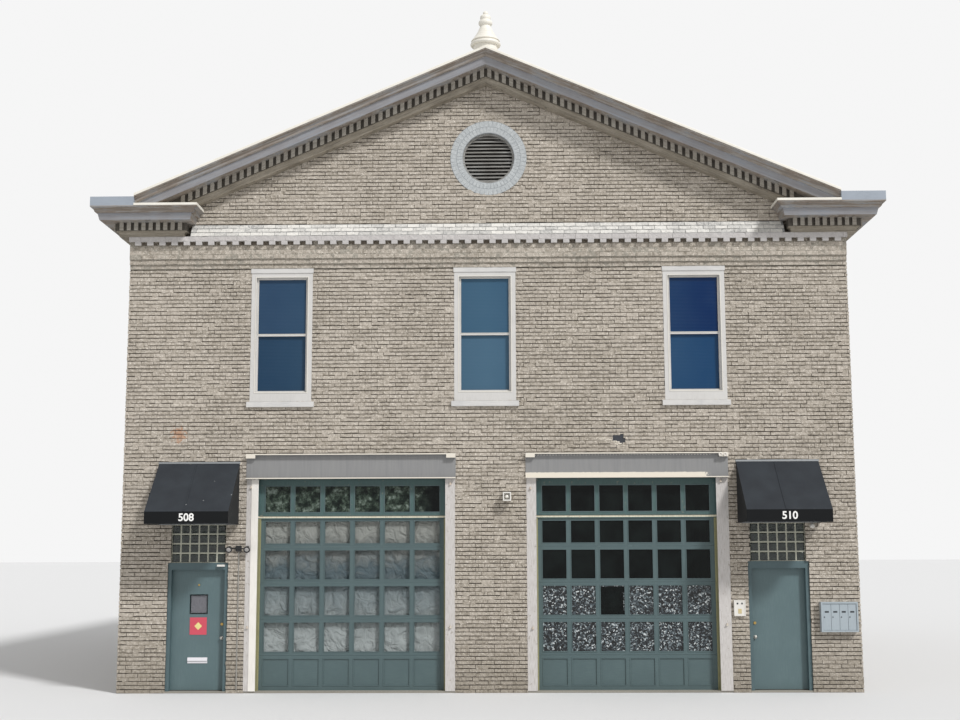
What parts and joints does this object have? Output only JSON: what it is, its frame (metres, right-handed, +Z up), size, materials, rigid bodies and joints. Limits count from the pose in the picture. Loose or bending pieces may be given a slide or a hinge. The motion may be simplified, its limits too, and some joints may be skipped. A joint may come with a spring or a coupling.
{
  "type": "fire station building",
  "caption": "Two-storey pedimented brick fire station with garage doors, hinged entrance doors, awnings and dentilled cornices.",
  "frame": {"origin": "middle of the walls' footprint at ground level", "axes": "+Z up, the street front faces -Y, +X to the right seen from the street"},
  "size_m": [13.8, 19.81, 11.93],
  "materials": {
    "painted_brick": "thick weathered paint on brick",
    "white_painted_brick": "chalky paint on brick",
    "blue_grey_painted_brick": "matt paint on brick",
    "concrete": "floated concrete",
    "timber_deck": "worn boards",
    "roof_felt": "mineral felt",
    "weathered_painted_wood": "peeling paint",
    "blue_grey_metal": "chalky paint",
    "white_metal": "satin paint",
    "white_painted_wood": "satin paint",
    "white_painted_stone": "matt paint",
    "window_glass": "clear over drawn blue blinds",
    "garage_glass": "clear",
    "green_painted_wood": "satin paint",
    "grey_painted_steel": "matt paint",
    "green_painted_steel": "satin paint",
    "door_glass": "wired",
    "door_metal": "satin",
    "glass_block": "rippled",
    "black_canvas": "coated canvas",
    "awning_steel": "galvanised",
    "grey_enamel": "gloss enamel",
    "white_plastic": "moulded",
    "black_metal": "satin",
    "rusty_iron": "painted, rusting"
  },
  "bodies": {
    "building": {"awning_frames": "awning_steel", "bed_mouldings": "weathered_painted_wood", "box_gutters": "blue_grey_metal", "conduit": "grey_enamel", "corbel_table": "painted_brick", "dentil_courses": "weathered_painted_wood", "eaves_cornices": "weathered_painted_wood", "entrance_frames": "green_painted_steel", "entrance_lamps": "white_plastic", "finial": "white_metal", "flood_lamp": "black_metal", "frieze_wash": "white_painted_brick", "front_gable": "painted_brick", "front_piers": "painted_brick", "front_wall_over_doors": "painted_brick", "front_wall_upper": "painted_brick", "garage_frames": "white_painted_wood", "garage_lintels": "grey_painted_steel", "garage_panes": "garage_glass", "gate_pintles": "rusty_iron", "glass_block_panels": "glass_block", "ground_floor": "concrete", "intercom": "white_plastic", "left_awning_canvas": "black_canvas", "left_garage_door": "green_painted_wood", "left_wall": "painted_brick", "mailboxes": "grey_enamel", "rake_bed_mouldings": "weathered_painted_wood", "rake_caps": "white_metal", "rake_crowns": "weathered_painted_wood", "rake_dentils": "weathered_painted_wood", "rear_wall": "painted_brick", "return_caps": "white_metal", "ridge_cap": "white_metal", "right_awning_canvas": "black_canvas", "right_garage_door": "green_painted_wood", "right_wall": "painted_brick", "roof_left_slope": "roof_felt", "roof_right_slope": "roof_felt", "second_floor": "timber_deck", "vent_louvre": "weathered_painted_wood", "vent_ring": "blue_grey_painted_brick", "wall_lamp": "white_plastic", "window_frames": "white_painted_wood", "window_glass": "window_glass", "window_lintels": "white_painted_stone", "window_sills": "white_painted_stone"},
    "left_door": {"left_door_leaf": "green_painted_steel", "left_door_lite": "door_glass", "left_door_fittings": "door_metal"},
    "right_door": {"right_door_leaf": "green_painted_steel", "right_door_fittings": "door_metal"}
  },
  "joints": [
    {"name": "left_door_hinge", "type": "hinge", "parent": "building", "child": "left_door", "pos_m": [-5.453, -8.972, 0], "axis": [0, 0, 1], "range_deg": [0, 90]},
    {"name": "right_door_hinge", "type": "hinge", "parent": "building", "child": "right_door", "pos_m": [5.43, -8.972, 0], "axis": [0, 0, -1], "range_deg": [0, 90]}
  ]
}
